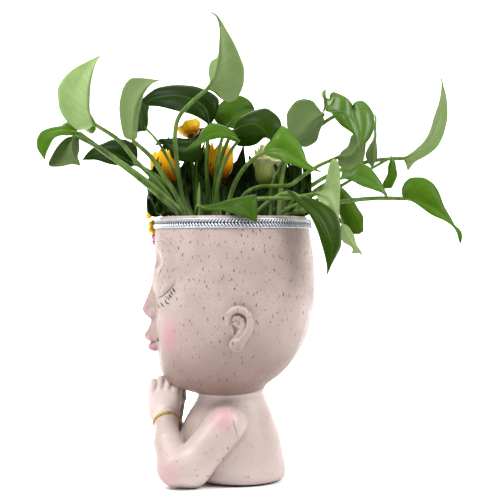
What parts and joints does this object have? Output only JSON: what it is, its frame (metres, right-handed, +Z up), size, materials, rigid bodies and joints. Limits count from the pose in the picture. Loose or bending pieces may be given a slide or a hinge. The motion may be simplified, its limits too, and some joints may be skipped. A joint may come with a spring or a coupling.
{
  "type": "head planter",
  "caption": "Figure-shaped flower pot: a hollow head on a small torso with clasped hands and a flower garland, planted with a leafy trailing plant that lifts out with its root ball.",
  "frame": {"origin": "on the floor, on the foam pad's underside, below the neck and in the figure's left-right mid plane", "axes": "+Z up, the face looks towards -Y, the figure's left side is +X"},
  "size_m": [0.1882, 0.3739, 0.414],
  "materials": {
    "painted_resin": "semi-gloss paint over cast resin, flesh tone with fine dark pits",
    "bare_resin": "matt unpainted cast resin",
    "foam_pad": "matt closed-cell foam sheet",
    "gold_paint": "metallic gold paint on a braid relief",
    "silver_paint": "metallic silver paint on a braid relief",
    "dark_green_paint": "dark green painted resin foliage",
    "orange_petal": "orange painted resin petals with red-brown bases",
    "yellow_petal": "yellow painted resin petals",
    "cream_petal": "cream to pale green painted resin petals",
    "pink_petal": "pink painted resin bud",
    "plug_rubber": "matt black rubber",
    "soil": "moist granular potting soil",
    "leaf": "satin living leaf, green above and paler below",
    "new_leaf": "pale satin new leaf"
  },
  "bodies": {
    "planter": {"head_pot": "painted_resin", "torso_shell": "painted_resin", "base_plate": "bare_resin", "base_pad": "foam_pad", "left_arm": "painted_resin", "right_arm": "painted_resin", "left_bracelet": "gold_paint", "right_bracelet": "gold_paint", "headband": "silver_paint", "garland_foliage": "dark_green_paint", "blossom_orange_front": "orange_petal", "blossom_orange_side": "orange_petal", "blossom_yellow_top": "yellow_petal", "blossom_cream_back": "cream_petal", "blossom_yellow_brow": "yellow_petal", "blossom_yellow_low": "yellow_petal", "bud_pink": "pink_petal"},
    "plant": {"potting_soil": "soil", "leaf_far_left_high": "leaf", "leaf_far_left_tip": "leaf", "leaf_far_left_low": "leaf", "leaf_left_dark": "leaf", "leaf_left_upright": "leaf", "leaf_left_inner": "leaf", "leaf_centre_broad": "leaf", "leaf_top_tall": "leaf", "leaf_centre_round": "leaf", "leaf_centre_arch": "leaf", "leaf_right_round": "leaf", "leaf_right_bud": "leaf", "leaf_right_glossy": "leaf", "leaf_centre_fold": "leaf", "leaf_right_hang": "leaf", "leaf_right_mid": "leaf", "leaf_right_vertical": "leaf", "leaf_rim_long": "leaf", "leaf_rim_short": "leaf", "leaf_rim_pale": "leaf", "leaf_far_right_high": "leaf", "leaf_far_right_low": "leaf", "leaf_front_rim": "leaf", "leaf_left_low_dark": "leaf", "leaf_centre_bright": "leaf", "leaf_right_small": "leaf", "leaf_rolled": "new_leaf"},
    "plug": {"drain_plug": "plug_rubber"}
  },
  "joints": [
    {"name": "plant_lift", "type": "slide", "parent": "planter", "child": "plant", "axis": [0, 0, 1], "range_m": [0, 0.16]},
    {"name": "plug_pull", "type": "slide", "parent": "planter", "child": "plug", "axis": [0, 0, -1], "range_m": [0, 0.03]}
  ]
}
